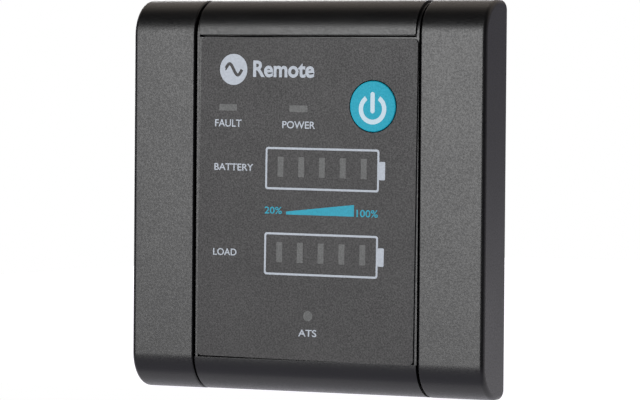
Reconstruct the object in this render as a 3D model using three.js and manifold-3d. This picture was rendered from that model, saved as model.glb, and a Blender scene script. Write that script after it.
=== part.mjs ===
// Wall-mounted remote control and display panel for a battery inverter.
// Millimetres, +Z up, +X to the right, the front faces -Y and the wall is the plane Y = 0.
// The origin is the centre of the panel on the wall plane. A "standoff" is a distance from the wall
// towards the room, so a point at standoff s has Y = -s, and what lies in the wall has a negative one.
import * as THREE from 'three';
import { mergeVertices } from 'three/addons/utils/BufferGeometryUtils.js';
import Module from 'manifold-3d';

const wasm = await Module();
wasm.setup();

// ---------------------------------------------------------------- driving sizes

// outside of the panel
const panelWidth = 96;
const panelHeight = 96;
const coverStandoff = 11.9;     // wall to the front faces of the side covers
const rollRadius = 8.7;         // rolled top and bottom edges
const backEdgeDepth = 1.6;      // rounding where the roll meets the wall
const backEdgeDrop = 1.2;
const centreWidth = 60.4;       // bezel, from groove to groove
const grooveWidth = 0.6;        // gap between the bezel and each cover
const centreInset = 0.05;       // the bezel lies this far inside the covers' outline
const coverEdgeFillet = 1.2;    // front outer edge of a cover
const grooveEdgeFillet = 0.35;  // cover edge along the groove

// mouldings
const coverWall = 2;
const coverInnerWall = 1.4;     // cover wall along the groove
const rimWall = 2.4;            // top and bottom walls of the covers and the bezel
const bezelWall = 2;            // bezel front, behind the overlay
const bezelSideWall = 1.6;
const frameThickness = 2.4;
const flangeThickness = 1.5;
const flangeLip = 1.3;          // flange beyond the housing's sides
const flangeRimGap = 3.65;      // flange to the bezel's top and bottom walls
const housingWall = 1.8;
const housingCorner = 2;
const flangeCorner = 3;
const frameCorner = 2;
const partGap = 0.3;            // between mouldings that meet or slide
const seatGap = 0.1;            // between pieces that are clamped or stuck together

// centre section
const overlayThickness = 0.5;
const overlayEdgeGap = 0.1;
const overlayCorner = 1.25;
const railWidth = 0.6;          // rail between the overlay and the groove
const railDrop = 0.45;          // rails lie behind the overlay's face
const capHeight = 8.6;          // top cap
const bandHeight = 8.2;         // bottom band
const capThickness = 1.2;
const capSlot = 0.65;           // dark slot between the top cap and the overlay
const capSlotDepth = 1.6;

// power button and its switch
const buttonFromRight = 11.25;  // button centre from the overlay's edges
const buttonFromTop = 16.5;
const buttonRadius = 6.15;
const buttonProud = 0.2;        // cap stands out of the overlay
const buttonRim = 0.3;
const buttonGap = 0.2;
const buttonTravel = 0.5;
const buttonFlange = 1.1;
const buttonFlangeThickness = 1;
const switchSize = 6;
const switchHeight = 3.5;
const plungerRadius = 1.75;
const plungerHeight = 0.9;      // plunger above the switch body
const plungerGap = 0.2;

// indicators: flat 2 x 5 mm lamps behind the overlay's windows, and one round lamp
const lampLong = 5;
const lampShort = 2;
const lampHeight = 7;
const lampGap = 0.15;
const lampFlange = 0.25;
const lampBase = 1;
const barCount = 5;
const barPitch = 5.65;
const barsCentreX = 4.55;
const batteryBarZ = 7.25;
const loadBarZ = -13.55;
const faultFromLeft = 8;        // from the overlay's edges
const powerX = -2.1;
const statusFromTop = 17.25;
const roundLampRadius = 1.5;
const roundLampHeight = 5.3;
const transferX = 1.3;
const transferFromBottom = 10.8;

// circuit board and what it carries
const boardThickness = 1.6;
const boardCorner = 1;
const boardGap = 0.3;           // board edge to the housing wall
const pillarRadius = 2.5;
const pillarInset = 2.5;        // pillar centre from the board's edges
const boardScrew = { shank: 1.15, head: 2.1, headHeight: 1.5, length: 7 };
const microcontroller = { fromLeft: 8.4, z: -4, size: 10, tall: 1.4 };
const regulator = { fromLeft: 7.9, fromBottom: 7.9, width: 6.5, height: 3.5, tall: 1.6 };
const capacitor = { x: 13, fromBottom: 5.9, radius: 3.15, tall: 4.6 };
const socketWidth = 15.6;
const socketHeight = 13.4;
const socketLength = 16.3;      // board to the socket's mouth
const socketX = 0;
const socketZ = -16;
const plugWidth = 11.8;
const plugHeight = 6.9;
const plugDepth = 12;
const contactCount = 8;
const contactPitch = 1.02;
const contactThickness = 0.35;

// fixings
const housingScrew = { shank: 1.35, head: 2.5, headHeight: 1.3 };
const housingScrewTipGap = 0.65;    // screw tip to the bezel's front wall
const housingScrewFromSide = 6.3;   // screw axis from the flange's side edge
const housingScrewMargin = 1;       // flange beyond the screw's head
const housingScrewInset = 3.4;      // screw axis from the housing's body
const screwGap = 0.12;
const bossWall = 1.5;
const wallScrewRadius = 2.2;
const wallScrewHeadRadius = 4.2;
const wallScrewSink = 0.8;
const wallScrewZ = 28;
const pegRadius = 1.5;
const pegGap = 0.15;
const pegSocketWall = 1.6;
const pegSocketHeight = 6.5;
const pegTip = 0.6;             // peg end, from the wall
const pegHeights = [-40, 0, 40];

// ---------------------------------------------------------------- derived sizes

const halfWidth = panelWidth / 2;
const halfHeight = panelHeight / 2;
const centreHalf = centreWidth / 2;
const grooveOuter = centreHalf + grooveWidth;
const faceStandoff = coverStandoff - centreInset;           // front of the overlay and bands
const seatStandoff = faceStandoff - overlayThickness;       // floor of the overlay's seat
const bezelInside = seatStandoff - bezelWall;
const centreTop = halfHeight - centreInset;
const rimInside = centreTop - rimWall;
const capEdge = centreTop - capHeight;                      // lower edge of the top cap
const bandEdge = bandHeight - centreTop;                    // upper edge of the bottom band
const overlayHalf = centreHalf - railWidth - overlayEdgeGap;
const overlayTop = capEdge - capSlot;
const overlayBottom = bandEdge + overlayEdgeGap;
const wingX = (grooveOuter + coverInnerWall + halfWidth - coverWall) / 2;
const frameHalfWidth = halfWidth - coverWall - partGap;
const frameHalfHeight = rimInside - partGap;
const frameFront = frameThickness + partGap;
const bezelInnerHalf = centreHalf - bezelSideWall;
const housingScrewBearing = housingScrew.headHeight + seatGap;
housingScrew.length = bezelInside - housingScrewTipGap - housingScrewBearing;
const flangeBack = frameThickness + seatGap;
const flangeFront = flangeBack + flangeThickness;
const flangeHalf = bezelInnerHalf - partGap;
const flangeTop = rimInside - flangeRimGap;
const housingScrewX = flangeHalf - housingScrewFromSide;
const housingScrewZ = flangeTop - housingScrew.head - housingScrewMargin;
const housingHalf = flangeHalf - flangeLip;
const housingTop = housingScrewZ - housingScrewInset;
const housingInnerHalf = housingHalf - housingWall;
const housingInnerTop = housingTop - housingWall;
const boardHalfWidth = housingInnerHalf - boardGap;
const boardHalfHeight = housingInnerTop - boardGap;
const lampTop = seatStandoff - seatGap;
const boardFront = lampTop - lampHeight;
const boardBack = boardFront - boardThickness;
const socketMouth = boardBack - socketLength;
const housingBack = socketMouth - seatGap;
const housingFloor = housingBack + housingWall;
const pillarX = boardHalfWidth - pillarInset;
const pillarZ = boardHalfHeight - pillarInset;
const barsX = Array.from({ length: barCount }, (_, i) => barsCentreX + (i - (barCount - 1) / 2) * barPitch);
const buttonX = overlayHalf - buttonFromRight;
const buttonZ = overlayTop - buttonFromTop;
const faultX = faultFromLeft - overlayHalf;
const statusZ = overlayTop - statusFromTop;
const transferZ = overlayBottom + transferFromBottom;
const roll = Math.min(rollRadius, faceStandoff - backEdgeDepth - seatGap);   // limited by the depth
const boreRadius = buttonRadius + buttonGap;

// ---------------------------------------------------------------- materials

function plastic(color, roughness) {
  return new THREE.MeshStandardMaterial({ color, roughness, metalness: 0 });
}

function metal(color, roughness) {
  return new THREE.MeshStandardMaterial({ color, roughness, metalness: 1 });
}

const charcoalAbs = () => plastic('#3d3c3d', 0.5);
const blackAbs = () => plastic('#1f1f20', 0.6);
const overlayFilm = () => plastic('#4a4948', 0.6);
const tealCap = () => plastic('#2ca3c0', 0.35);
const milkyLens = () => plastic('#b9bbb9', 0.3);
const boardGreen = () => plastic('#1d5b38', 0.45);
const packageBlack = () => plastic('#18181a', 0.5);
const zincSteel = () => metal('#b5b7b8', 0.35);
const aluminiumCan = () => metal('#9fa3a6', 0.4);
const goldPlate = () => metal('#c9a14a', 0.3);

// ---------------------------------------------------------------- shapes and booleans

const outside = 5;      // how far a cutting shape runs past what it cuts
const fineSteps = 9;    // facets in a rolled edge that shows
const innerSteps = 4;   // and in one that doesn't
const boreSides = 32;   // sides of the power button and its bore

function solid(geometry) {
  const bare = geometry.clone();
  bare.deleteAttribute('normal');
  bare.deleteAttribute('uv');
  const merged = mergeVertices(bare, 1e-4);
  return new wasm.Manifold(new wasm.Mesh({
    numProp: 3,
    vertProperties: new Float32Array(merged.attributes.position.array),
    triVerts: new Uint32Array(merged.index.array),
  }));
}

function join(first, ...others) {
  return others.reduce((sum, other) => sum.add(other), first);
}

function cut(first, ...others) {
  return others.reduce((rest, other) => rest.subtract(other), first);
}

const panel = new THREE.Group();

function add(name, body, material) {
  const { numProp, vertProperties, triVerts } = body.getMesh();
  const geometry = new THREE.BufferGeometry();
  geometry.setAttribute('position', new THREE.BufferAttribute(vertProperties, numProp));
  geometry.setIndex(new THREE.BufferAttribute(triVerts, 1));
  geometry.computeVertexNormals();
  const mesh = new THREE.Mesh(geometry, material);
  mesh.name = name;
  panel.add(mesh);
}

// A box between two X values, two standoffs and two Z values.
function block(x0, x1, back, front, z0, z1) {
  const size = [Math.abs(x1 - x0), front - back, z1 - z0];
  const geometry = new THREE.BoxGeometry(...size);
  return solid(geometry.translate((x0 + x1) / 2, -(back + front) / 2, (z0 + z1) / 2));
}

// A rectangular block centred on (x, z).
function pad(x, z, width, height, back, front) {
  return block(x - width / 2, x + width / 2, back, front, z - height / 2, z + height / 2);
}

// A round pin or hole along Y, centred on (x, z).
function round(x, z, radius, back, front, sides = 12) {
  const geometry = new THREE.CylinderGeometry(radius, radius, front - back, sides);
  return solid(geometry.translate(x, -(back + front) / 2, z));
}

// A turned shape about a Y axis through (x, z): the profile is [radius, standoff] pairs.
function turned(x, z, profile, sides) {
  const points = profile.map(([radius, standoff]) => new THREE.Vector2(radius, standoff));
  const geometry = new THREE.LatheGeometry(points, sides);
  return solid(geometry.rotateX(Math.PI).translate(x, 0, z));
}

// A flat outline in X and Z, between two standoffs.
function slab(outline, back, front) {
  const geometry = new THREE.ExtrudeGeometry(outline, { depth: front - back, bevelEnabled: false, curveSegments: 5 });
  return solid(geometry.rotateX(Math.PI / 2).translate(0, -back, 0));
}

function roundedRect(x0, x1, z0, z1, r) {
  const shape = new THREE.Shape();
  shape.moveTo(x0 + r, z0);
  shape.lineTo(x1 - r, z0);
  shape.absarc(x1 - r, z0 + r, r, -Math.PI / 2, 0);
  shape.lineTo(x1, z1 - r);
  shape.absarc(x1 - r, z1 - r, r, 0, Math.PI / 2);
  shape.lineTo(x0 + r, z1);
  shape.absarc(x0 + r, z1 - r, r, Math.PI / 2, Math.PI);
  shape.lineTo(x0, z0 + r);
  shape.absarc(x0 + r, z0 + r, r, Math.PI, 1.5 * Math.PI);
  return shape;
}

// The panel's side outline, standoff against height: flat front, rolled top and bottom. With
// roundedBack its back edges are eased at the wall, otherwise it runs straight on to `back`.
function rollOutline({ front, top, radius, back = 0, roundedBack = false }) {
  const shape = new THREE.Shape();
  const depth = roundedBack ? backEdgeDepth : 0;
  const drop = roundedBack ? backEdgeDrop : 0;
  shape.moveTo(back, -(top - drop));
  if (roundedBack) shape.absellipse(back + depth, -(top - drop), depth, drop, Math.PI, 1.5 * Math.PI);
  shape.lineTo(front - radius, -top);
  shape.absarc(front - radius, -(top - radius), radius, -Math.PI / 2, 0);
  shape.lineTo(front, top - radius);
  shape.absarc(front - radius, top - radius, radius, 0, Math.PI / 2);
  shape.lineTo(back + depth, top);
  if (roundedBack) shape.absellipse(back + depth, top - drop, depth, drop, Math.PI / 2, Math.PI);
  shape.closePath();
  return shape;
}

// A side outline carried along X between two X values, with its end edges rounded by `fillet`.
// `steps` is the number of facets in each rolled edge.
function alongX(outline, xa, xb, { fillet = 0, steps = fineSteps } = {}) {
  const [x0, x1] = xa < xb ? [xa, xb] : [xb, xa];
  const geometry = new THREE.ExtrudeGeometry(outline, {
    depth: x1 - x0 - 2 * fillet,
    curveSegments: steps,
    bevelEnabled: fillet > 0,
    bevelSize: fillet,
    bevelOffset: -fillet,
    bevelThickness: fillet,
    bevelSegments: 3,
  });
  const axes = new THREE.Matrix4().makeBasis(
    new THREE.Vector3(0, -1, 0), new THREE.Vector3(0, 0, 1), new THREE.Vector3(-1, 0, 0));
  return solid(geometry.applyMatrix4(axes).translate(x1 - fillet, 0, 0));
}

// ---------------------------------------------------------------- side covers

function sideCover(side) {
  const inner = side * grooveOuter;
  const outer = side * halfWidth;
  const outline = { front: coverStandoff, top: halfHeight, radius: roll };
  const rolledEnd = alongX(rollOutline({ ...outline, back: -outside }),
    inner - side * outside, outer, { fillet: coverEdgeFillet });
  const easedBack = alongX(rollOutline({ ...outline, roundedBack: true }),
    inner, outer + side * outside, { fillet: grooveEdgeFillet });
  const hollow = alongX(rollOutline({
    front: coverStandoff - coverWall,
    top: rimInside,
    radius: roll - coverWall,
    back: -outside,
  }), inner + side * coverInnerWall, outer - side * coverWall, { steps: innerSteps });
  const frameRelief = block(inner - side * outside, inner + side * (coverInnerWall + outside),
    -outside, frameFront, -frameHalfHeight - partGap, frameHalfHeight + partGap);
  const pins = pegHeights.map((z) =>
    round(side * wingX, z, pegRadius, pegTip, coverStandoff - coverWall / 2));
  const shell = cut(rolledEnd.intersect(easedBack), hollow, frameRelief);
  return join(shell, ...pins.map((pin) => pin.intersect(easedBack)));
}

add('left_cover', sideCover(-1), charcoalAbs());
add('right_cover', sideCover(1), charcoalAbs());

// ---------------------------------------------------------------- front bezel and top cap

const lampWindows = [
  { name: 'fault_led', x: faultX, z: statusZ, width: lampLong, height: lampShort },
  { name: 'power_led', x: powerX, z: statusZ, width: lampLong, height: lampShort },
  ...barsX.map((x, i) => ({
    name: `battery_led_${i + 1}`, x, z: batteryBarZ, width: lampShort, height: lampLong })),
  ...barsX.map((x, i) => ({
    name: `load_led_${i + 1}`, x, z: loadBarZ, width: lampShort, height: lampLong })),
];
const housingScrews = [[-1, -1], [1, -1], [1, 1], [-1, 1]]
  .map(([sx, sz]) => [sx * housingScrewX, sz * housingScrewZ]);

function frontBezel() {
  const outline = { front: faceStandoff, top: centreTop, radius: roll };
  const blank = alongX(rollOutline({ ...outline, roundedBack: true }), -centreHalf, centreHalf);
  const hollow = alongX(rollOutline({
    front: bezelInside,
    top: rimInside,
    radius: roll - rimWall,
    back: -outside,
  }), -bezelInnerHalf, bezelInnerHalf, { steps: innerSteps });
  const frameRelief = block(-centreHalf - outside, centreHalf + outside,
    -outside, frameFront, -frameHalfHeight - partGap, frameHalfHeight + partGap);
  const seatHalf = overlayHalf + overlayEdgeGap;
  const seat = slab(roundedRect(-seatHalf, seatHalf, bandEdge, capEdge + outside, overlayCorner),
    seatStandoff, faceStandoff + outside);
  const rails = block(-centreHalf - outside, centreHalf + outside,
    faceStandoff - railDrop, faceStandoff + outside, bandEdge, halfHeight + outside);
  const railRoll = cut(
    block(-centreHalf - outside, centreHalf + outside, -outside, faceStandoff + outside,
      capEdge - overlayCorner, halfHeight + outside),
    alongX(rollOutline({
      front: faceStandoff - railDrop,
      top: centreTop - railDrop,
      radius: roll - railDrop,
      back: -outside,
    }), -centreHalf - 2 * outside, centreHalf + 2 * outside));
  const capSeatInset = capThickness + seatGap;
  const capSeat = cut(
    block(-seatHalf, seatHalf, -outside, faceStandoff + outside, capEdge, halfHeight + outside),
    alongX(rollOutline({
      front: faceStandoff - capSeatInset,
      top: centreTop - capSeatInset,
      radius: roll - capSeatInset,
      back: -outside,
    }), -centreHalf - outside, centreHalf + outside));
  const slot = block(-seatHalf, seatHalf, seatStandoff - capSlotDepth, faceStandoff + outside,
    capEdge - capSlot, capEdge);
  const windows = lampWindows.map(({ x, z, width, height }) =>
    pad(x, z, width + 2 * lampGap, height + 2 * lampGap, bezelInside - outside, faceStandoff));
  const roundWindow = round(transferX, transferZ, roundLampRadius + lampGap,
    bezelInside - outside, faceStandoff);
  const bore = round(buttonX, buttonZ, boreRadius, bezelInside - outside, faceStandoff, boreSides);
  const bosses = housingScrews.map(([x, z]) =>
    round(x, z, housingScrew.shank + screwGap + bossWall, flangeFront + seatGap, bezelInside + 0.5));
  const pilots = housingScrews.map(([x, z]) =>
    round(x, z, housingScrew.shank + screwGap, 0, bezelInside - seatGap));
  const shell = cut(blank, hollow, frameRelief, seat, rails, railRoll, capSeat, slot,
    ...windows, roundWindow, bore);
  return cut(join(shell, ...bosses), ...pilots);
}

function topCap() {
  const outline = { front: faceStandoff, top: centreTop, radius: roll };
  const cap = alongX(rollOutline({ ...outline, roundedBack: true }), -overlayHalf, overlayHalf);
  const inside = alongX(rollOutline({
    front: faceStandoff - capThickness,
    top: centreTop - capThickness,
    radius: roll - capThickness,
    back: -outside,
  }), -centreHalf, centreHalf);
  const below = block(-centreHalf, centreHalf, -outside, faceStandoff + outside,
    -halfHeight - outside, capEdge + seatGap / 2);
  return cut(cap, inside, below);
}

add('front_bezel', frontBezel(), charcoalAbs());
add('top_cap', topCap(), charcoalAbs());

// ---------------------------------------------------------------- graphic overlay

function graphicOverlay() {
  const outline = roundedRect(-overlayHalf, overlayHalf, overlayBottom, overlayTop, overlayCorner);
  const sheet = slab(outline, seatStandoff, faceStandoff);
  return cut(sheet, round(buttonX, buttonZ, boreRadius, 0, faceStandoff + outside, boreSides));
}

add('graphic_overlay', graphicOverlay(), overlayFilm());

// ---------------------------------------------------------------- power button and switch

function powerButton() {
  const top = faceStandoff + buttonProud;
  const flangeTopFace = bezelInside - partGap;
  const flangeBottom = flangeTopFace - buttonFlangeThickness;
  const stemEnd = boardFront + switchHeight + plungerHeight + seatGap / 2;
  const stemRadius = plungerRadius;
  const hollowRadius = buttonRadius - 1.2;
  const hollowTop = bezelInside + 1;
  const rimSteps = 5;
  const rim = Array.from({ length: rimSteps + 1 }, (_, i) => {
    const angle = (i / rimSteps) * Math.PI / 2;
    return [buttonRadius - buttonRim * (1 - Math.cos(angle)), top - buttonRim * (1 - Math.sin(angle))];
  });
  return turned(buttonX, buttonZ, [
    [0, stemEnd],
    [stemRadius, stemEnd],
    [stemRadius, hollowTop],
    [hollowRadius, hollowTop],
    [hollowRadius, flangeBottom],
    [buttonRadius + buttonFlange, flangeBottom],
    [buttonRadius + buttonFlange, flangeTopFace],
    [buttonRadius, flangeTopFace],
    ...rim,
    [0, top],
  ], boreSides);
}

function tactileSwitch() {
  const body = pad(buttonX, buttonZ, switchSize, switchSize, boardFront, boardFront + switchHeight);
  const well = round(buttonX, buttonZ, plungerRadius + plungerGap,
    boardFront + switchHeight - buttonTravel - 2 * plungerHeight, boardFront + switchHeight + outside);
  return cut(body, well);
}

function switchPlunger() {
  const top = boardFront + switchHeight + plungerHeight;
  return round(buttonX, buttonZ, plungerRadius, top - 2 * plungerHeight, top);
}

add('power_button', powerButton(), tealCap());
add('switch_plunger', switchPlunger(), blackAbs());
add('tactile_switch', tactileSwitch(), packageBlack());

// ---------------------------------------------------------------- indicator lamps

for (const { name, x, z, width, height } of lampWindows) {
  const lens = pad(x, z, width, height, boardFront + lampBase / 2, lampTop);
  const foot = pad(x, z, width + 2 * lampFlange, height + 2 * lampFlange,
    boardFront, boardFront + lampBase);
  add(name, join(lens, foot), milkyLens());
}

function roundLamp() {
  const domeSteps = 4;
  const shoulder = boardFront + roundLampHeight - roundLampRadius;
  const dome = Array.from({ length: domeSteps }, (_, i) => {
    const angle = (i / domeSteps) * Math.PI / 2;
    return [roundLampRadius * Math.cos(angle), shoulder + roundLampRadius * Math.sin(angle)];
  });
  return turned(transferX, transferZ, [
    [0, boardFront],
    [roundLampRadius + lampFlange, boardFront],
    [roundLampRadius + lampFlange, boardFront + lampBase],
    [roundLampRadius, boardFront + lampBase],
    ...dome,
    [0, shoulder + roundLampRadius],
  ], 16);
}

add('transfer_led', roundLamp(), milkyLens());

// ---------------------------------------------------------------- circuit board

const boardCorners = [[-1, -1], [1, -1], [1, 1], [-1, 1]].map(([sx, sz]) => [sx * pillarX, sz * pillarZ]);

function circuitBoard() {
  const outline = roundedRect(-boardHalfWidth, boardHalfWidth, -boardHalfHeight, boardHalfHeight, boardCorner);
  const board = slab(outline, boardBack, boardFront);
  const holes = boardCorners.map(([x, z]) =>
    round(x, z, boardScrew.shank + screwGap, boardBack - outside, boardFront + outside));
  return cut(board, ...holes);
}

add('circuit_board', circuitBoard(), boardGreen());
add('microcontroller', pad(microcontroller.fromLeft - boardHalfWidth, microcontroller.z,
  microcontroller.size, microcontroller.size, boardFront, boardFront + microcontroller.tall), packageBlack());
add('voltage_regulator', pad(regulator.fromLeft - boardHalfWidth, regulator.fromBottom - boardHalfHeight,
  regulator.width, regulator.height, boardFront, boardFront + regulator.tall), packageBlack());
add('capacitor', round(capacitor.x, capacitor.fromBottom - boardHalfHeight, capacitor.radius,
  boardFront, boardFront + capacitor.tall), aluminiumCan());

// ---------------------------------------------------------------- data socket

function dataSocket() {
  const body = pad(socketX, socketZ, socketWidth, socketHeight, socketMouth, boardBack);
  const cavityFloor = socketMouth + plugDepth;
  const cavity = pad(socketX, socketZ, plugWidth, plugHeight, socketMouth - outside, cavityFloor);
  const latchTop = socketZ - plugHeight / 2;
  const latchSteps = [[6, 1.5], [3.4, 2.8]].map(([width, drop]) =>
    block(socketX - width / 2, socketX + width / 2, socketMouth - outside, cavityFloor,
      latchTop - drop, latchTop + 1));
  return cut(body, cavity, ...latchSteps);
}

function socketContacts() {
  const root = socketMouth + plugDepth - seatGap;
  const top = socketZ + plugHeight / 2 - seatGap;
  const barHalf = (contactCount * contactPitch) / 2;
  const bar = block(socketX - barHalf, socketX + barHalf, root - 1, root, top - 1, top);
  const fingers = Array.from({ length: contactCount }, (_, i) => {
    const x = socketX + (i - (contactCount - 1) / 2) * contactPitch;
    return pad(x, top - contactThickness / 2, contactPitch / 2, contactThickness, root - 9, root - 0.5);
  });
  return join(bar, ...fingers);
}

add('data_socket', dataSocket(), packageBlack());
add('socket_contacts', socketContacts(), goldPlate());

// ---------------------------------------------------------------- rear housing

function rearHousing() {
  const tray = slab(roundedRect(-housingHalf, housingHalf, -housingTop, housingTop, housingCorner),
    housingBack, flangeFront);
  const flange = slab(roundedRect(-flangeHalf, flangeHalf, -flangeTop, flangeTop, flangeCorner), flangeBack, flangeFront);
  const hollow = block(-housingInnerHalf, housingInnerHalf, housingFloor, flangeFront + outside,
    -housingInnerTop, housingInnerTop);
  const mouth = pad(socketX, socketZ, socketWidth + 2 * partGap, socketHeight + 2 * partGap,
    housingBack - outside, housingFloor + outside / 2);
  const pillars = boardCorners.map(([x, z]) =>
    round(x, z, pillarRadius, housingFloor - housingWall / 2, boardBack));
  const pilotDepth = boardScrew.length - boardThickness + 1;
  const pilots = boardCorners.map(([x, z]) =>
    round(x, z, boardScrew.shank + screwGap, boardBack - pilotDepth, boardBack + outside));
  const screwHoles = housingScrews.map(([x, z]) =>
    round(x, z, housingScrew.shank + screwGap, -outside, flangeFront + outside));
  return cut(join(cut(join(tray, flange), hollow, mouth), ...pillars), ...pilots, ...screwHoles);
}

add('rear_housing', rearHousing(), blackAbs());

// ---------------------------------------------------------------- mounting frame

function mountingFrame() {
  const plate = slab(roundedRect(-frameHalfWidth, frameHalfWidth, -frameHalfHeight, frameHalfHeight, frameCorner),
    0, frameThickness);
  const opening = block(-housingHalf - partGap, housingHalf + partGap, -outside, outside,
    -housingTop - partGap, housingTop + partGap);
  const sides = [-1, 1];
  const sockets = sides.flatMap((side) => pegHeights.map((z) =>
    round(side * wingX, z, pegRadius + pegGap + pegSocketWall, frameThickness / 2, pegSocketHeight)));
  const socketBores = sides.flatMap((side) => pegHeights.map((z) =>
    round(side * wingX, z, pegRadius + pegGap, -outside, pegSocketHeight + outside)));
  const wallHoles = sides.flatMap((side) => [-wallScrewZ, wallScrewZ].map((z) =>
    round(side * wingX, z, wallScrewRadius, -outside, outside)));
  const headSinks = sides.flatMap((side) => [-wallScrewZ, wallScrewZ].map((z) =>
    round(side * wingX, z, wallScrewHeadRadius, frameThickness - wallScrewSink, outside)));
  const housingHoles = housingScrews.map(([x, z]) =>
    round(x, z, housingScrew.shank + screwGap, -outside, outside));
  const housingSinks = housingScrews.map(([x, z]) =>
    round(x, z, housingScrew.head + screwGap, -outside, housingScrewBearing + seatGap));
  return cut(join(plate, ...sockets), opening, ...socketBores, ...wallHoles, ...headSinks,
    ...housingHoles, ...housingSinks);
}

add('mounting_frame', mountingFrame(), blackAbs());

// ---------------------------------------------------------------- screws

// A cross-recessed pan-head screw on (x, z). Its head's bearing face is at `bearing`; `way` is 1 where
// the shank runs towards the room and -1 where it runs towards the wall.
function screw([x, z], { shank, head, headHeight, length }, bearing, way) {
  const span = (a, b) => [Math.min(a, b), Math.max(a, b)];
  const headEnd = bearing - way * headHeight;
  const shaft = round(x, z, shank, ...span(bearing - way * headHeight / 2, bearing + way * length));
  const pan = round(x, z, head, ...span(headEnd, bearing), 16);
  const recess = span(headEnd - way, headEnd + way * headHeight * 0.5);
  const slotWidth = head * 0.24;
  const slotLength = head * 1.1;
  return cut(join(pan, shaft), pad(x, z, slotLength, slotWidth, ...recess),
    pad(x, z, slotWidth, slotLength, ...recess));
}

boardCorners.forEach((place, i) =>
  add(`board_screw_${i + 1}`, screw(place, boardScrew, boardFront + seatGap / 2, -1), zincSteel()));
housingScrews.forEach((place, i) => add(`housing_screw_${i + 1}`,
  screw(place, housingScrew, housingScrewBearing, 1), zincSteel()));

export default panel;
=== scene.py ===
"""A wall remote control and display panel for a battery inverter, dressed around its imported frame.

+X is to the right seen from the room, the front faces -Y, +Z is up and the wall is the plane y = 0.
Lengths are in metres; MM turns a size in millimetres into metres.
"""
import math

import bmesh
import bpy
from mathutils import Matrix, Vector


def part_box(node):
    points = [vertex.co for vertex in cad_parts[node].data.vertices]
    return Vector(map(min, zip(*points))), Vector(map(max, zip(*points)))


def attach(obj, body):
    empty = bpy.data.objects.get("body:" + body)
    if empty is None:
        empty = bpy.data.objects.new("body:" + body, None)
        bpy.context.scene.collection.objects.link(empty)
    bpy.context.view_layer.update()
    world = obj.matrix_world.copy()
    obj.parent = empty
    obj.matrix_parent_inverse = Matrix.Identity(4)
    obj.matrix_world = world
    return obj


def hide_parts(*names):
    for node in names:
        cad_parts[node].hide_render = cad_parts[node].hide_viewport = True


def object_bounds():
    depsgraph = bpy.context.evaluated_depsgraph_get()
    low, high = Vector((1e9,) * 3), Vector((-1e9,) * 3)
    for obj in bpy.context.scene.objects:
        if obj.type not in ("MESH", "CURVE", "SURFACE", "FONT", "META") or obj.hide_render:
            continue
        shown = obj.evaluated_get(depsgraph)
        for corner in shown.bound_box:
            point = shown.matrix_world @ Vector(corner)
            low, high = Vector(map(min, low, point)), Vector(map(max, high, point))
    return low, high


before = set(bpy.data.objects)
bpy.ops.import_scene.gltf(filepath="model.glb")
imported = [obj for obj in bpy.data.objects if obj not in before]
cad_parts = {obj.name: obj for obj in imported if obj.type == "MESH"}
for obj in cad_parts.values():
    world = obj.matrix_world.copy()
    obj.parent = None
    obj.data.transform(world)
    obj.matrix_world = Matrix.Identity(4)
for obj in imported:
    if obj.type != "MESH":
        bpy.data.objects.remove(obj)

cad_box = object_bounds()

MM = 0.001
WALL = "panel"          # the body that stays on the wall
UP, FRONT = Vector((0, 0, 1)), Vector((0, -1, 0))


# ---------------------------------------------------------------- camera, light and floor

CAMERA_AZIMUTH, CAMERA_ELEVATION, CAMERA_ROLL = map(math.radians, (27.04, 1.49, 0.46))
CAMERA_DISTANCE = 1000 * MM
CAMERA_TARGET = Vector((1.12, -5.9, -0.76)) * MM
CAMERA_LENS, SENSOR = 230.7, 36.0


def place_camera():
    """A long lens from the right and a little above, rolled by less than half a degree."""
    back = Vector((math.sin(CAMERA_AZIMUTH) * math.cos(CAMERA_ELEVATION),
                   -math.cos(CAMERA_AZIMUTH) * math.cos(CAMERA_ELEVATION),
                   math.sin(CAMERA_ELEVATION)))
    camera = bpy.data.objects.new("camera", bpy.data.cameras.new("camera"))
    camera.data.lens, camera.data.sensor_width = CAMERA_LENS, SENSOR
    camera.data.clip_start, camera.data.clip_end = 0.01, 50
    turn = back.to_track_quat("Z", "Y").to_matrix() @ Matrix.Rotation(CAMERA_ROLL, 3, "Z")
    camera.matrix_world = Matrix.Translation(CAMERA_TARGET + back * CAMERA_DISTANCE) @ turn.to_4x4()
    bpy.context.scene.collection.objects.link(camera)
    bpy.context.scene.camera = camera


def linear(hex_colour):
    """An sRGB hex colour as linear red, green, blue and full alpha."""
    parts = [int(hex_colour[i:i + 2], 16) / 255 for i in (1, 3, 5)]
    return tuple(c / 12.92 if c <= 0.04045 else ((c + 0.055) / 1.055) ** 2.4 for c in parts) + (1.0,)


def node(tree, kind, settings=None, **sockets):
    """Adds a shader node. Sockets are named with _ for a space; a socket's value is a number, a
    colour or another node's output."""
    made = tree.nodes.new(kind)
    for name, value in (settings or {}).items():
        setattr(made, name, value)
    for name, value in sockets.items():
        wanted = name.replace("_", " ")
        socket = made.inputs[int(name[1:])] if name[1:].isdigit() else made.inputs[wanted]
        if isinstance(value, bpy.types.NodeSocket):
            tree.links.new(value, socket)
        else:
            socket.default_value = value
    return made


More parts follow.
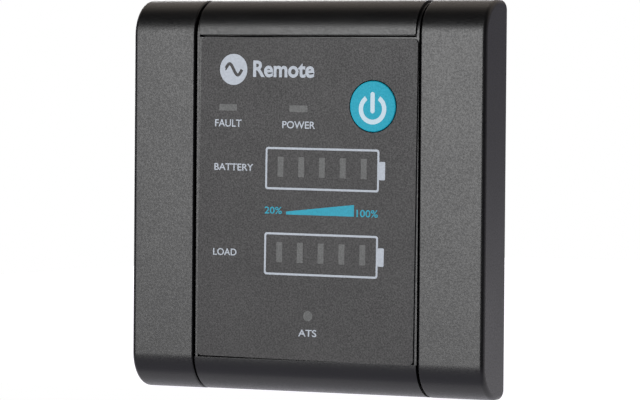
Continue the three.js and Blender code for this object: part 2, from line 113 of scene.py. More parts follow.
def light_world():
    """White seen directly; as a light it is a white sweep behind the panel, a pale table below and
    a dark room in front and above."""
    world = bpy.data.worlds.new("studio")
    bpy.context.scene.world = world
    world.use_nodes = True
    tree = world.node_tree
    tree.nodes.clear()
    way = node(tree, "ShaderNodeTexCoord").outputs["Generated"]
    axes = node(tree, "ShaderNodeSeparateXYZ", Vector=way)
    sweep = node(tree, "ShaderNodeMapRange", Value=axes.outputs["Z"],
                 From_Min=0.0, From_Max=0.7, To_Min=0.34, To_Max=0.85)
    behind = node(tree, "ShaderNodeMapRange", {"interpolation_type": "SMOOTHSTEP"},
                  Value=axes.outputs["Y"], From_Min=-0.15, From_Max=0.35, To_Min=0.02,
                  To_Max=sweep.outputs[0])
    below = node(tree, "ShaderNodeMapRange", {"interpolation_type": "SMOOTHSTEP"},
                 Value=axes.outputs["Z"], From_Min=0.0, From_Max=-0.5, To_Min=0.0, To_Max=0.6)
    glow = node(tree, "ShaderNodeMath", {"operation": "MAXIMUM"},
                i0=behind.outputs[0], i1=below.outputs[0])
    warmth = node(tree, "ShaderNodeMapRange", Value=axes.outputs["Z"], From_Min=0.0, From_Max=0.7)
    tint = node(tree, "ShaderNodeMix", {"data_type": "RGBA"}, i0=warmth.outputs[0],
                i6=linear("#f1eeff"), i7=linear("#fff2e6"))
    room = node(tree, "ShaderNodeBackground", Color=tint.outputs[2], Strength=glow.outputs[0])
    seen = node(tree, "ShaderNodeBackground", Color=(1, 1, 1, 1), Strength=1.0)
    path = node(tree, "ShaderNodeLightPath")
    mix = node(tree, "ShaderNodeMixShader", i0=path.outputs["Is Camera Ray"],
               i1=room.outputs[0], i2=seen.outputs[0])
    node(tree, "ShaderNodeOutputWorld", Surface=mix.outputs[0])


def softbox(name, azimuth, elevation, distance, width, height, watts, colour="#ffffff"):
    """A rectangular area light that looks at the panel."""
    a, e = math.radians(azimuth), math.radians(elevation)
    back = Vector((math.sin(a) * math.cos(e), -math.cos(a) * math.cos(e), math.sin(e)))
    light = bpy.data.lights.new(name, "AREA")
    light.shape, light.size, light.size_y = "RECTANGLE", width, height
    light.energy, light.color = watts, linear(colour)[:3]
    lamp = bpy.data.objects.new(name, light)
    lamp.matrix_world = (Matrix.Translation(back * distance)
                         @ back.to_track_quat("Z", "Y").to_matrix().to_4x4())
    bpy.context.scene.collection.objects.link(lamp)


TABLE_HALF, TABLE_GAP = 400 * MM, 0.3 * MM


def pale_floor():
    """A plain white table just under the panel, from its front face back, bright enough to run into
    the white behind it."""
    low = Vector(cad_box[0])
    bm = bmesh.new()
    bmesh.ops.create_grid(bm, x_segments=1, y_segments=1, size=TABLE_HALF)
    bmesh.ops.translate(bm, vec=(0, low.y + TABLE_HALF, low.z - TABLE_GAP), verts=bm.verts)
    mesh = bpy.data.meshes.new("floor")
    bm.to_mesh(mesh)
    bm.free()
    floor = bpy.data.objects.new("floor", mesh)
    bpy.context.scene.collection.objects.link(floor)
    white = bpy.data.materials.new("floor_white")
    white.use_nodes = True
    shader = white.node_tree.nodes["Principled BSDF"]
    shader.inputs["Base Color"].default_value = (0.3, 0.3, 0.3, 1)
    shader.inputs["Roughness"].default_value = 0.9
    shader.inputs["Emission Color"].default_value = linear("#f9f7ff")
    shader.inputs["Emission Strength"].default_value = 1.0
    mesh.materials.append(white)


place_camera()
light_world()
softbox("key", azimuth=-14.5, elevation=8, distance=0.9, width=0.75, height=0.52, watts=7.9)
softbox("rear_fill", azimuth=212, elevation=12, distance=1.0, width=0.5, height=0.5, watts=2.5)
pale_floor()
bpy.context.scene.view_settings.view_transform = "Standard"


# ---------------------------------------------------------------- materials

def grained(name, colour, roughness, grain_mm, depth_mm, shade=0.0, fleck=0.0, blotch=0.03, **sockets):
    """A moulded or printed surface with a fine even grain. The grain lifts the surface by `depth_mm`,
    lightens and darkens the colour by `shade` and the gloss by `fleck`; `blotch` varies the gloss
    slowly over the whole piece."""
    material = bpy.data.materials.new(name)
    material.use_nodes = True
    tree = material.node_tree
    tree.nodes.clear()
    place = node(tree, "ShaderNodeTexCoord").outputs["Object"]
    grain = node(tree, "ShaderNodeTexNoise", Vector=place, Scale=1 / (grain_mm * MM),
                 Detail=1.0, Roughness=0.5)
    tone = node(tree, "ShaderNodeMapRange", Value=grain.outputs[0], From_Min=0.32, From_Max=0.68)
    base = linear(colour)
    dark = tuple(c * (1 - shade) for c in base[:3]) + (1,)
    pale = tuple(min(1, c * (1 + shade)) for c in base[:3]) + (1,)
    tint = node(tree, "ShaderNodeMix", {"data_type": "RGBA"}, i0=tone.outputs[0], i6=dark, i7=pale)
    patches = node(tree, "ShaderNodeTexNoise", Vector=place, Scale=1 / (14 * MM), Detail=2.0)
    slow = node(tree, "ShaderNodeMapRange", Value=patches.outputs[0], From_Min=0.3, From_Max=0.7,
                To_Min=roughness - blotch, To_Max=roughness + blotch)
    gloss = node(tree, "ShaderNodeMapRange", Value=tone.outputs[0], To_Min=fleck, To_Max=-fleck)
    rough = node(tree, "ShaderNodeMath", {"operation": "ADD", "use_clamp": True},
                 i0=slow.outputs[0], i1=gloss.outputs[0])
    bump = node(tree, "ShaderNodeBump", Height=grain.outputs[0], Strength=1.0, Distance=depth_mm * MM)
    shader = node(tree, "ShaderNodeBsdfPrincipled", Base_Color=tint.outputs[2],
                  Roughness=rough.outputs[0], Normal=bump.outputs[0], **sockets)
    node(tree, "ShaderNodeOutputMaterial", Surface=shader.outputs[0])
    return material


# Charcoal ABS from a spark-eroded mould: a satin black that turns grey where it reflects. The
# texture's real pits are a tenth of a millimetre, drawn four times coarser so that they show.
COVER_ABS = grained("spark_eroded_abs", "#0b0b0c", 0.36, 0.4, 0.012, shade=0.3, fleck=0.07,
                    blotch=0.015)
# Polycarbonate label film, back-printed dark grey, with a coarse anti-glare texture.
LABEL_FILM = grained("textured_label_film", "#2f2e2e", 0.5, 0.38, 0.012, shade=0.4, fleck=0.06,
                     blotch=0.02, Specular_IOR_Level=0.36)
# Unprinted windows in the film over the unlit lamps: pale grey.
WINDOW_FILM = grained("clear_label_window", "#565756", 0.5, 0.38, 0.012, shade=0.16, fleck=0.05,
                      Specular_IOR_Level=0.4)
# Screen-printed ink under the film: white and teal.
WHITE_INK = grained("white_screen_ink", "#b2b9c1", 0.55, 0.45, 0.004, shade=0.06,
                    Specular_IOR_Level=0.3)
TEAL_INK = grained("teal_screen_ink", "#2099b0", 0.55, 0.45, 0.004, shade=0.08,
                   Specular_IOR_Level=0.3)
# Teal satin cap, dyed through.
CAP_TEAL = grained("teal_satin_abs", "#1d9fb6", 0.5, 0.4, 0.006, shade=0.08, fleck=0.05,
                   Specular_IOR_Level=0.16)
CAP_WHITE = grained("white_pad_print", "#c2d7e0", 0.5, 0.4, 0.002, shade=0.03,
                    Specular_IOR_Level=0.2)
# Black ABS of the hidden mouldings, plainer and duller than the covers.
BACK_ABS = grained("moulded_black_abs", "#19191a", 0.5, 0.5, 0.012, shade=0.2, fleck=0.05)
# Glass-filled nylon of the socket and the switch, and the epoxy of the chips.
SOCKET_NYLON = grained("glass_filled_nylon", "#141416", 0.45, 0.4, 0.006, shade=0.2, fleck=0.05)
CHIP_EPOXY = grained("moulded_epoxy", "#1c1c1e", 0.55, 0.25, 0.006, shade=0.25, fleck=0.05)
# Milky epoxy of the lamps.
LAMP_EPOXY = grained("milky_epoxy", "#c9cac6", 0.25, 0.8, 0.001, shade=0.03)
# Solder mask over copper.
SOLDER_MASK = grained("solder_mask", "#14532f", 0.35, 1.2, 0.004, shade=0.15)
# Zinc-plated steel screws, gold-plated spring wires and a drawn aluminium can.
ZINC = grained("zinc_plated_steel", "#b9bbbd", 0.3, 0.3, 0.004, shade=0.1, fleck=0.05, Metallic=1.0)
GOLD = grained("gold_plated_bronze", "#d0a24a", 0.25, 0.3, 0.001, shade=0.05, Metallic=1.0)
CAN = grained("drawn_aluminium", "#c3c6c9", 0.3, 0.4, 0.002, shade=0.05, fleck=0.04, Metallic=1.0)


# ---------------------------------------------------------------- mesh helpers

def block(low, high):
    """A bmesh box between two corners."""
    low, high = Vector(low), Vector(high)
    bm = bmesh.new()
    bmesh.ops.create_cube(bm, size=1)
    bmesh.ops.scale(bm, vec=high - low, verts=bm.verts)
    bmesh.ops.translate(bm, vec=(low + high) / 2, verts=bm.verts)
    return bm


def edges_where(bm, test):
    """The edges whose two ends both pass the test."""
    return [e for e in bm.edges if all(test(v.co) for v in e.verts)]


def near(a, b):
    return abs(a - b) < 0.01 * MM


def bevel(bm, edges, offset, segments):
    bmesh.ops.bevel(bm, geom=edges, offset=offset, offset_type="OFFSET", affect="EDGES",
                    segments=segments, profile=0.5, material=-1, clamp_overlap=True)


def slab(x0, x1, z0, z1, back, front, corner=0.0, segments=8):
    """A flat plate between two standoffs from the wall, its four corners rounded."""
    bm = block((x0, -front, z0), (x1, -back, z1))
    if corner:
        upright = [e for e in bm.edges if abs((e.verts[0].co - e.verts[1].co).y) > (front - back) / 2]
        bevel(bm, upright, corner, segments)
    return bm


ROLL = 8.7 * MM                                 # rolled top and bottom edges
BACK_DEPTH, BACK_DROP = 1.6 * MM, 1.2 * MM      # easing where the roll meets the wall
ROLL_STEPS, EDGE_STEPS = 20, 6
BEYOND = 5 * MM                                 # how far a cutting shape runs past what it cuts
FINE_ROUND = 96                                 # steps round the button and other fine circles


def rolled(x0, x1, front, top, roll=ROLL):
    """A block along X with its two front edges rolled. It runs on through the wall."""
    bm = block((x0, -front, -top), (x1, BEYOND, top))
    bevel(bm, [e for e in edges_where(bm, lambda p: near(p.y, -front))
               if near(e.verts[0].co.z, e.verts[1].co.z)], roll, ROLL_STEPS)
    return bm


def round_end(bm, x, radius):
    """Rounds the edge all round one end of a rolled block."""
    bevel(bm, edges_where(bm, lambda p: near(p.x, x)), radius, EDGE_STEPS)


def end_at_wall(bm):
    """Cuts a rolled block off at the wall and draws its top and bottom in towards the wall along a
    quarter of an ellipse."""
    for i in range(1, EDGE_STEPS + 1):
        standoff = BACK_DEPTH * (1 - math.sin(i / EDGE_STEPS * math.pi / 2))
        bmesh.ops.bisect_plane(bm, geom=[*bm.verts, *bm.edges, *bm.faces], plane_co=FRONT * standoff,
                               plane_no=-FRONT, clear_outer=i == EDGE_STEPS)
    bmesh.ops.holes_fill(bm, edges=[e for e in bm.edges if e.is_boundary])
    for vert in bm.verts:
        along = min(1, max(0, 1 + vert.co.y / BACK_DEPTH))
        vert.co.z -= math.copysign(BACK_DROP * (1 - math.sqrt(1 - along * along)), vert.co.z)
    return bm


def peg(x, z, radius, back, front, steps=48):
    """A round pin along Y."""
    bm = bmesh.new()
    place = Matrix.Translation((x, -(back + front) / 2, z)) @ Matrix.Rotation(math.pi / 2, 4, "X")
    bmesh.ops.create_cone(bm, cap_ends=True, segments=steps, radius1=radius, radius2=radius,
                          depth=front - back, matrix=place)
    return bm


def as_object(name, bm):
    mesh = bpy.data.meshes.new(name)
    bm.to_mesh(mesh)
    bm.free()
    made = bpy.data.objects.new(name, mesh)
    bpy.context.scene.collection.objects.link(made)
    return made


def combine(blank, *others, operation="DIFFERENCE"):
    """Cuts bmeshes out of a bmesh, or joins them to it, and returns the bmesh that is left."""
    base = as_object("blank", blank)
    tools = [as_object("tool", bm) for bm in others]
    for tool in tools:
        step = base.modifiers.new("step", "BOOLEAN")
        step.operation, step.solver, step.object = operation, "EXACT", tool
    bpy.context.view_layer.update()
    shape = base.evaluated_get(bpy.context.evaluated_depsgraph_get())
    bm = bmesh.new()
    bm.from_mesh(shape.to_mesh())
    for used in [base, *tools]:
        data = used.data
        bpy.data.objects.remove(used)
        bpy.data.meshes.remove(data)
    bmesh.ops.remove_doubles(bm, verts=bm.verts, dist=0.0005 * MM)
    return bm


SHARP = math.radians(32)


def piece(name, bm, body, material, replaces=()):
    """A finished piece: smooth but for its sharp edges, with flat faces kept flat, on its body."""
    bmesh.ops.recalc_face_normals(bm, faces=bm.faces)
    for face in bm.faces:
        face.smooth = True
    for edge in bm.edges:
        edge.smooth = len(edge.link_faces) == 2 and edge.calc_face_angle(0.0) < SHARP
    made = as_object(name, bm)
    made.data.materials.append(material)
    shading = made.modifiers.new("flat_faces", "WEIGHTED_NORMAL")
    shading.keep_sharp = True
    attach(made, body)
    if replaces:
        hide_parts(*replaces)
    return made


def finer(node_name, body, material, edge=0.0, steps=2):
    """A merged copy of a CAD node with its outer edges eased, to stand for that node."""
    bm = bmesh.new()
    bm.from_mesh(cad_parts[node_name].data)
    bmesh.ops.remove_doubles(bm, verts=bm.verts, dist=0.002 * MM)
    bmesh.ops.dissolve_limit(bm, angle_limit=math.radians(1), verts=bm.verts, edges=bm.edges)
    made = piece(node_name + "_moulding", bm, body, material, replaces=[node_name])
    if edge:
        ease = made.modifiers.new("eased_edges", "BEVEL")
        ease.width, ease.segments, ease.limit_method = edge, steps, "ANGLE"
        ease.angle_limit = math.radians(50)
        ease.harden_normals = False
        made.modifiers.move(1, 0)
    return made


# ---------------------------------------------------------------- side covers

COVER_WALL, INNER_WALL, RIM_WALL = 2 * MM, 1.4 * MM, 2.4 * MM
OUTER_FILLET, GROOVE_FILLET = 1.2 * MM, 0.45 * MM
PEG_RADIUS, PEG_TIP = 1.5 * MM, 0.6 * MM
PEG_HEIGHTS = [z * MM for z in (-40, 0, 40)]
FRAME_RELIEF, RELIEF_GAP = 2.7 * MM, 0.3 * MM   # the mounting frame's plate passes under the walls


def frame_relief(x0, x1):
    """A cutter for the mounting frame's plate, between two X values."""
    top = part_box("mounting_frame")[1].z + RELIEF_GAP
    return block((x0, -FRAME_RELIEF, -top), (x1, BEYOND, top))


def side_cover(node_name, body):
    low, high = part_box(node_name)
    front, top = -low.y, high.z
    side = 1 if low.x > 0 else -1
    inner, outer = (low.x, high.x) if side > 0 else (high.x, low.x)
    shell = rolled(low.x, high.x, front, top)
    round_end(shell, outer, OUTER_FILLET)
    round_end(shell, inner, GROOVE_FILLET)
    end_at_wall(shell)
    walls = sorted([inner + side * INNER_WALL, outer - side * COVER_WALL])
    hollow = rolled(*walls, front - COVER_WALL, top - RIM_WALL, ROLL - COVER_WALL)
    relief = frame_relief(*sorted([inner - side * BEYOND, inner + side * (INNER_WALL + BEYOND)]))
    bm = combine(shell, hollow, relief)
    peg_x = (inner + side * INNER_WALL + outer - side * COVER_WALL) / 2
    pegs = [peg(peg_x, z, PEG_RADIUS, PEG_TIP, front - COVER_WALL / 2) for z in PEG_HEIGHTS]
    bm = combine(bm, *pegs, operation="UNION")
    piece(node_name + "_shell", bm, body, COVER_ABS, replaces=[node_name])


side_cover("left_cover", "left_side")
side_cover("right_cover", "right_side")


# ---------------------------------------------------------------- front bezel and top cap

BEZEL_WALL, BEZEL_SIDE = 2 * MM, 1.6 * MM
CAP_WALL = 1.2 * MM
RAIL_DROP, CAP_SEAT = 0.45 * MM, 1.3 * MM       # how far the rails and the cap's seat lie back
BOSS_RADIUS, PILOT_RADIUS = 2.97 * MM, 1.47 * MM            # for the housing screws
BOSS_GAP, BOSS_ROOT, PILOT_STOP = 0.1 * MM, 0.5 * MM, 0.1 * MM
CAP_LIP_FILLET, CAP_EDGE_FILLET = 0.5 * MM, 0.12 * MM
SLOT_DEPTH, LAMP_GAP = 1.6 * MM, 0.15 * MM
HAIRLINE_DEPTH, HAIRLINE_HEIGHT = 1.4 * MM, 0.75 * MM       # groove under the film, along the band
HAIRLINE_START = 0.02 * MM                      # its cutter starts this far in front of the seat
overlay_low, overlay_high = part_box("graphic_overlay")
bezel_low, bezel_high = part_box("front_bezel")
cap_low, cap_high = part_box("top_cap")
FACE, SEAT = -overlay_low.y, -overlay_high.y    # standoffs of the overlay's face and of its seat
CAP_EDGE = cap_low.z - 0.05 * MM                # lower edge of the top cap
BAND_EDGE = overlay_low.z - 0.1 * MM            # upper edge of the bottom band
SEAT_HALF = overlay_high.x + 0.1 * MM
BEZEL_INSIDE = SEAT - BEZEL_WALL
button_low, button_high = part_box("power_button")
BUTTON = (button_low + button_high) / 2
BUTTON_RADIUS, BORE_RADIUS = 6.15 * MM, 6.35 * MM
STATUS_LAMPS = ["fault_led", "power_led"]
BANKS = {bank: [f"{bank}_led_{i}" for i in range(1, 6)] for bank in ("battery", "load")}
LAMPS = STATUS_LAMPS + BANKS["battery"] + BANKS["load"] + ["transfer_led"]


def dark_slot(low, high, mouth, depth):
    """A cutter along the seat that narrows inwards to its upper edge, so that the slot reads dark."""
    slot = block((-SEAT_HALF, -mouth, low), (SEAT_HALF, depth - SEAT, high))
    inner = [v for v in slot.verts if v.co.y > -SEAT]
    bmesh.ops.scale(slot, vec=(1, 1, 0.1), verts=inner, space=Matrix.Translation(-high * UP))
    return slot


def front_bezel():
    """The rolled bottom band, the lower side rails above it and the overlay's seat between them."""
    half, top = bezel_high.x, -bezel_low.z
    bm = end_at_wall(rolled(-half, half, FACE, top))
    above_rails = combine(block((-half - BEYOND, -FACE - BEYOND, BAND_EDGE),
                                (half + BEYOND, BEYOND / 2, top + BEYOND)),
                          rolled(-half - 2 * BEYOND, half + 2 * BEYOND, FACE - RAIL_DROP,
                                 top - RAIL_DROP, ROLL - RAIL_DROP))
    hollow = rolled(-half + BEZEL_SIDE, half - BEZEL_SIDE, BEZEL_INSIDE, top - RIM_WALL,
                    ROLL - RIM_WALL)
    relief = frame_relief(-half - BEYOND, half + BEYOND)
    seat = block((-SEAT_HALF, -FACE - BEYOND, BAND_EDGE), (SEAT_HALF, -SEAT, CAP_EDGE + BEYOND))
    cap_seat = combine(block((-SEAT_HALF, -FACE - BEYOND, CAP_EDGE),
                             (SEAT_HALF, BEYOND / 2, top + BEYOND)),
                       rolled(-half - BEYOND, half + BEYOND, FACE - CAP_SEAT, top - CAP_SEAT,
                              ROLL - CAP_SEAT))
    slot = dark_slot(overlay_high.z, CAP_EDGE, FACE, SLOT_DEPTH)
    hairline = dark_slot(BAND_EDGE, BAND_EDGE + HAIRLINE_HEIGHT, SEAT + HAIRLINE_START,
                         HAIRLINE_DEPTH)
    bore = peg(BUTTON.x, BUTTON.z, BORE_RADIUS, BEZEL_INSIDE - BEYOND, FACE + BEYOND, FINE_ROUND)
    openings = [hairline, bore]
    for lamp in LAMPS:
        low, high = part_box(lamp)
        openings.append(block((low.x - LAMP_GAP, -FACE, low.z - LAMP_GAP),
                              (high.x + LAMP_GAP, BEYOND - BEZEL_INSIDE, high.z + LAMP_GAP)))
    bm = combine(bm, above_rails, hollow, relief, seat, cap_seat, slot, *openings)
    bosses, pilots = [], []
    flange = -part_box("rear_housing")[0].y
    for number in range(1, 5):
        low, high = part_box(f"housing_screw_{number}")
        x, z = (low.x + high.x) / 2, (low.z + high.z) / 2
        bosses.append(peg(x, z, BOSS_RADIUS, flange + BOSS_GAP, BEZEL_INSIDE + BOSS_ROOT))
        pilots.append(peg(x, z, PILOT_RADIUS, 0, BEZEL_INSIDE - PILOT_STOP, 24))
    bm = combine(combine(bm, *bosses, operation="UNION"), *pilots)
    piece("bezel_shell", bm, WALL, COVER_ABS, replaces=["front_bezel"])


def top_cap():
    """The rolled top band, a shell of its own that clips in between the rails."""
    half, top = cap_high.x, cap_high.z
    bm = block((-half, -FACE, cap_low.z), (half, BEYOND, top))
    bevel(bm, [e for e in edges_where(bm, lambda p: near(p.z, cap_low.z))
               if near(e.verts[0].co.x, e.verts[1].co.x)], CAP_LIP_FILLET, 5)
    bevel(bm, edges_where(bm, lambda p: near(p.z, top) and near(p.y, -FACE)), ROLL, ROLL_STEPS)
    bevel(bm, [e for e in bm.edges if e.calc_face_angle(0) > math.radians(60)
               and not all(near(v.co.y, BEYOND) for v in e.verts)], CAP_EDGE_FILLET, 2)
    bm = combine(end_at_wall(bm), rolled(-half - BEYOND, half + BEYOND, FACE - CAP_WALL,
                                         top - CAP_WALL, ROLL - CAP_WALL))
    piece("top_band", bm, WALL, COVER_ABS, replaces=["top_cap"])


front_bezel()
top_cap()


# ---------------------------------------------------------------- overlay, its windows and its print

FILM_TURN = math.radians(0.5)   # the label film is stuck on a little askew
FILM_SHIFT = 0.3 * MM           # and off centre
OVERLAY_CORNER, FILM_EDGE = 1.25 * MM, 0.08 * MM
INK = 0.02 * MM                 # ink stands this far in front of the film, windows half as far
SUNK, WORD_SUNK = 0.1 * MM, 0.05 * MM           # how far print and lettering reach into the film


def askew(bm):
    """Turns a part of the label with its film, clockwise seen from the room."""
    bmesh.ops.rotate(bm, cent=(0, 0, 0), matrix=Matrix.Rotation(FILM_TURN, 3, "Y"), verts=bm.verts)
    return bm


def overlay():
    sheet = slab(overlay_low.x + FILM_SHIFT, overlay_high.x + FILM_SHIFT, overlay_low.z,
                 overlay_high.z, SEAT, FACE, OVERLAY_CORNER)
    bm = combine(askew(sheet), peg(BUTTON.x, BUTTON.z, BORE_RADIUS, 0, FACE + BEYOND, FINE_ROUND))
    rim = [e for e in bm.edges if all(near(v.co.y, -FACE) for v in e.verts)
           and e.calc_face_angle(0) > math.radians(60)]
    bevel(bm, rim, FILM_EDGE, 2)
    piece("label_film", bm, WALL, LABEL_FILM, replaces=["graphic_overlay"])


def printed(name, parts, material, body=WALL):
    """Several flat parts as one printed piece."""
    whole = bmesh.new()
    for part in parts:
        mesh = bpy.data.meshes.new("part")
        part.to_mesh(mesh)
        part.free()
        whole.from_mesh(mesh)
        bpy.data.meshes.remove(mesh)
    return piece(name, whole if body != WALL else askew(whole), body, material)


WINDOW_LONG, WINDOW_SHORT, WINDOW_DOT = 4.9 * MM, 1.6 * MM, 2.5 * MM
WINDOW_CORNER = 0.12 * MM


def lamp_centre(node_name):
    low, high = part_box(node_name)
    return (low + high) / 2


def window(node_name, width, height):
    c = lamp_centre(node_name)
    return slab(c.x - width / 2, c.x + width / 2, c.z - height / 2, c.z + height / 2,
                FACE - SUNK, FACE + INK / 2, WINDOW_CORNER, 3)


def windows():
    printed("status_windows", [window(lamp, WINDOW_LONG, WINDOW_SHORT) for lamp in STATUS_LAMPS],
            WINDOW_FILM)
    for bank, bars in BANKS.items():
        printed(f"{bank}_windows", [window(bar, WINDOW_SHORT, WINDOW_LONG) for bar in bars],
                WINDOW_FILM)
    dot = lamp_centre("transfer_led")
    printed("transfer_window", [peg(dot.x, dot.z, WINDOW_DOT / 2, FACE - SUNK, FACE + INK / 2)],
            WINDOW_FILM)


OUTLINE_WIDTH, OUTLINE_HEIGHT = 30.9 * MM, 10.3 * MM
OUTLINE_STROKE, OUTLINE_CORNER = 0.5 * MM, 0.7 * MM
OUTLINE_MARGIN = 4.15 * MM          # from the first bar's middle to the outline's left side
OUTLINE_DROP = 0.4 * MM             # the outline's middle is below the bars' middle
TERMINAL_WIDTH, TERMINAL_HEIGHT, TERMINAL_CORNER = 1.6 * MM, 4.44 * MM, 0.3 * MM


def battery_symbol(bank):
    """A battery outline round five bars, with a terminal on its right."""
    first = lamp_centre(BANKS[bank][0])
    x0, middle = first.x - OUTLINE_MARGIN, first.z - OUTLINE_DROP
    x1, z0, z1 = x0 + OUTLINE_WIDTH, middle - OUTLINE_HEIGHT / 2, middle + OUTLINE_HEIGHT / 2
    stroke = OUTLINE_STROKE
    ring = combine(slab(x0, x1, z0, z1, FACE - SUNK, FACE + INK, OUTLINE_CORNER),
                   slab(x0 + stroke, x1 - stroke, z0 + stroke, z1 - stroke,
                        FACE - BEYOND, FACE + BEYOND, OUTLINE_CORNER - stroke * 0.7))
    terminal = slab(x1, x1 + TERMINAL_WIDTH, middle - TERMINAL_HEIGHT / 2, middle + TERMINAL_HEIGHT / 2,
                    FACE - SUNK, FACE + INK, TERMINAL_CORNER, 4)
    return [ring, terminal]


def thickened(bm, faces, thickness):
    """Gives flat faces that look towards the room a thickness back towards the wall."""
    out = bmesh.ops.extrude_face_region(bm, geom=faces)["geom"]
    moved = [v for v in out if isinstance(v, bmesh.types.BMVert)]
    bmesh.ops.translate(bm, vec=-FRONT * thickness, verts=moved)
    return bm


WEDGE_LEFT, WEDGE_RIGHT, WEDGE_BASE = -5.05 * MM, 13.4 * MM, -4.33 * MM
WEDGE_LOW, WEDGE_HIGH = -3.6 * MM, -1.5 * MM    # its top at the left and at the right end


def wedge():
    """The rising level scale between the two banks."""
    bm = bmesh.new()
    corners = [bm.verts.new((x, -FACE - INK, z))
               for x, z in ((WEDGE_LEFT, WEDGE_BASE), (WEDGE_RIGHT, WEDGE_BASE),
                            (WEDGE_RIGHT, WEDGE_HIGH), (WEDGE_LEFT, WEDGE_LOW))]
    return thickened(bm, bmesh.ops.contextual_create(bm, geom=corners)["faces"], SUNK)


def lettering(text, left, right, base, top, weight):
    """A word in capitals between two X values, from its base line to its cap height, as a bmesh."""
    curve = bpy.data.curves.new("word", "FONT")
    curve.body, curve.size, curve.extrude, curve.offset = text, 1.0, 0.5, weight
    curve.resolution_u = 6
    word = bpy.data.objects.new("word", curve)
    bpy.context.scene.collection.objects.link(word)
    bpy.context.view_layer.update()
    mesh = bpy.data.meshes.new_from_object(word.evaluated_get(bpy.context.evaluated_depsgraph_get()))
    bm = bmesh.new()
    bm.from_mesh(mesh)
    bpy.data.objects.remove(word)
    bpy.data.curves.remove(curve)
    bpy.data.meshes.remove(mesh)
    bmesh.ops.remove_doubles(bm, verts=bm.verts, dist=1e-5)
    xs = [v.co.x for v in bm.verts]
    ys = [v.co.y for v in bm.verts]
    across = (right - left) * MM / (max(xs) - min(xs))
    up = (top - base) * MM / (max(ys) - min(ys))
    bmesh.ops.translate(bm, vec=(-min(xs), -min(ys), 0), verts=bm.verts)
    depth = INK + WORD_SUNK
    bmesh.ops.scale(bm, vec=(across, up, depth), verts=bm.verts)
    start = Matrix.Translation((left * MM, -FACE - INK + depth / 2, base * MM))
    bmesh.ops.transform(bm, matrix=start @ Matrix.Rotation(math.pi / 2, 4, "X"), verts=bm.verts)
    return bm


BADGE_RADIUS, BADGE_STROKE = 3.8 * MM, 0.8 * MM
BADGE_X, BADGE_Z = -20.1 * MM, 30.75 * MM
WAVE_LENGTH, WAVE_HEIGHT = 4.6 * MM, 1.35 * MM


def supply_badge():
    """A disc with one cycle of a sine wave left out of it, the plain sign for an alternating supply."""
    wave = bmesh.new()
    y, left, steps = -FACE - BEYOND, BADGE_X - WAVE_LENGTH / 2, 32
    tips = [wave.verts.new((left, y, BADGE_Z + side * BADGE_STROKE / 2)) for side in (-1, 1)]
    last = [wave.edges.new(tips)]
    for i in range(1, steps + 1):
        out = bmesh.ops.extrude_edge_only(wave, edges=last)["geom"]
        last = [g for g in out if isinstance(g, bmesh.types.BMEdge)]
        tips = [g for g in out if isinstance(g, bmesh.types.BMVert)]
        angle = 2 * math.pi * i / steps
        rise = math.cos(angle) * WAVE_HEIGHT * 2 * math.pi / WAVE_LENGTH
        middle = Vector((left + WAVE_LENGTH * i / steps, y, BADGE_Z + WAVE_HEIGHT * math.sin(angle)))
        across = Vector((-rise, 0, 1)).normalized() * BADGE_STROKE / 2
        low, high = sorted(tips, key=lambda v: v.co.z)
        low.co, high.co = middle - across, middle + across
    thickened(wave, list(wave.faces), 2 * BEYOND)
    bmesh.ops.recalc_face_normals(wave, faces=wave.faces)
    disc = peg(BADGE_X, BADGE_Z, BADGE_RADIUS, FACE - SUNK, FACE + INK, FINE_ROUND)
    return [combine(disc, wave)]


WHITE_WORDS = [
    # text, left, right, base and top in millimetres, weight
    ("Remote", -14.7, 2.1, 28.95, 33.0, 0.03),
    ("FAULT", -25.05, -17.7, 16.72, 18.5, 0.012),
    ("POWER", -6.45, 2.5, 16.62, 18.4, 0.012),
    ("BATTERY", -25.05, -14.25, 6.05, 7.75, 0.012),
    ("LOAD", -25.05, -18.55, -14.8, -13.1, 0.012),
    ("ATS", -1.2, 3.75, -33.85, -32.15, 0.012),
]
TEAL_WORDS = [
    ("20%", -10.94, -6.2, -4.25, -2.53, 0.012),
    ("100%", 14.1, 19.85, -4.4, -2.62, 0.012),
]

overlay()
windows()
for bank in BANKS:
    printed(f"{bank}_symbol", battery_symbol(bank), WHITE_INK)
printed("level_wedge", [wedge()], TEAL_INK)
printed("supply_badge", supply_badge(), WHITE_INK)
printed("white_legends", [lettering(*word) for word in WHITE_WORDS], WHITE_INK)
printed("teal_legends", [lettering(*word) for word in TEAL_WORDS], TEAL_INK)


# ---------------------------------------------------------------- power button

BUTTON_FACE = -button_low.y     # standoff of the cap's face
BUTTON_RIM, BUTTON_WALL, STEM_RADIUS = 0.3 * MM, 1.2 * MM, 1.75 * MM
STEM_GAP, FLANGE_GAP, HOLLOW_RISE = 0.05 * MM, 0.3 * MM, 1 * MM


def turned(profile, centre):
    """A profile of (radius, standoff) points turned about a Y axis, starting and ending on it."""
    bm = bmesh.new()
    points = [bm.verts.new((centre.x + r, -s, centre.z)) for r, s in profile]
    edges = [bm.edges.new(pair) for pair in zip(points, points[1:])]
    bmesh.ops.spin(bm, geom=points + edges, cent=(centre.x, 0, centre.z), axis=(0, 1, 0),
                   angle=2 * math.pi, steps=FINE_ROUND, use_merge=True)
    bmesh.ops.remove_doubles(bm, verts=bm.verts, dist=0.001 * MM)
    return bm


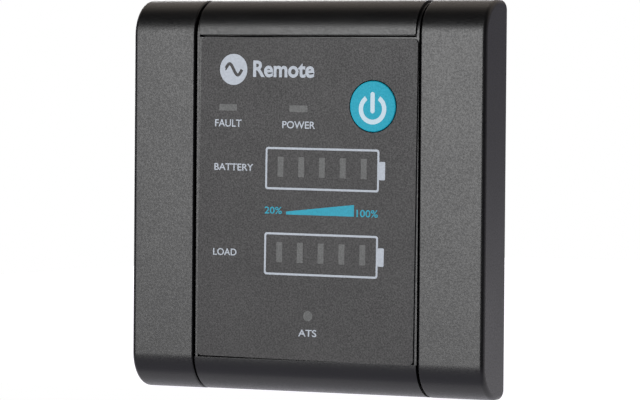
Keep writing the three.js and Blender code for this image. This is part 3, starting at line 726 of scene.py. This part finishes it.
def button_cap():
    """The cap with its rounded rim, the flange that keeps it in, and the stem on the switch."""
    flange_back = -button_high.y
    rim = []
    for i in range(9):
        angle = i / 8 * math.pi / 2
        rim.append((BUTTON_RADIUS - BUTTON_RIM * (1 - math.cos(angle)),
                    BUTTON_FACE - BUTTON_RIM * (1 - math.sin(angle))))
    stem_end = -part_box("switch_plunger")[0].y + STEM_GAP
    flange = (button_high.x - button_low.x) / 2
    flange_front, hollow_end = BEZEL_INSIDE - FLANGE_GAP, BEZEL_INSIDE + HOLLOW_RISE
    stem, hollow = STEM_RADIUS, BUTTON_RADIUS - BUTTON_WALL
    profile = [(0, stem_end), (stem, stem_end), (stem, hollow_end), (hollow, hollow_end),
               (hollow, flange_back), (flange, flange_back), (flange, flange_front),
               (BUTTON_RADIUS, flange_front), *rim, (0, BUTTON_FACE)]
    piece("button_cap", turned(profile, BUTTON), "button", CAP_TEAL,
          replaces=["power_button"])


SYMBOL_RING, SYMBOL_STROKE, SYMBOL_GAP = 3.12 * MM, 1.15 * MM, math.radians(66)
SYMBOL_DROP = 0.65 * MM         # the ring sits this far below the cap's centre
BAR_TOP, BAR_BOTTOM = 3.45 * MM, -1.65 * MM     # from the cap's centre


def power_symbol():
    """An open ring and a bar, printed on the cap."""
    centre = Vector((BUTTON.x, 0, BUTTON.z - SYMBOL_DROP))
    y = -BUTTON_FACE - INK
    ring = bmesh.new()
    start = [ring.verts.new((centre.x, y, centre.z + SYMBOL_RING + side * SYMBOL_STROKE / 2))
             for side in (-1, 1)]
    edge = ring.edges.new(start)
    bmesh.ops.rotate(ring, cent=centre, matrix=Matrix.Rotation(SYMBOL_GAP / 2, 3, "Y"), verts=start)
    bmesh.ops.spin(ring, geom=[*start, edge], cent=centre, axis=(0, 1, 0),
                   angle=2 * math.pi - SYMBOL_GAP, steps=64)
    thickened(ring, list(ring.faces), 2 * INK)
    ends = [e for e in ring.edges if abs((e.verts[0].co - e.verts[1].co).y) > INK
            and e.calc_face_angle(0) > math.radians(60)]
    round_tip = SYMBOL_STROKE * 0.48
    bevel(ring, ends, round_tip, 8)
    bar = slab(centre.x - SYMBOL_STROKE / 2, centre.x + SYMBOL_STROKE / 2, BUTTON.z + BAR_BOTTOM,
               BUTTON.z + BAR_TOP, BUTTON_FACE - INK, BUTTON_FACE + INK, round_tip, 8)
    printed("power_symbol", [ring, bar], CAP_WHITE, body="button")


button_cap()
power_symbol()


# ---------------------------------------------------------------- behind the panel

finer("mounting_frame", WALL, BACK_ABS, edge=0.25 * MM)
finer("rear_housing", WALL, BACK_ABS, edge=0.3 * MM)
finer("data_socket", WALL, SOCKET_NYLON, edge=0.12 * MM)
finer("socket_contacts", WALL, GOLD)
finer("circuit_board", WALL, SOLDER_MASK)
finer("microcontroller", WALL, CHIP_EPOXY, edge=0.12 * MM)
finer("voltage_regulator", WALL, CHIP_EPOXY, edge=0.12 * MM)
finer("capacitor", WALL, CAN, edge=0.3 * MM, steps=3)
finer("tactile_switch", WALL, SOCKET_NYLON, edge=0.1 * MM)
finer("switch_plunger", "button", BACK_ABS, edge=0.15 * MM)
for number in range(1, 5):
    finer(f"board_screw_{number}", WALL, ZINC)
    finer(f"housing_screw_{number}", WALL, ZINC, edge=0.15 * MM)
for lamp in LAMPS:
    finer(lamp, WALL, LAMP_EPOXY, edge=0.1 * MM)
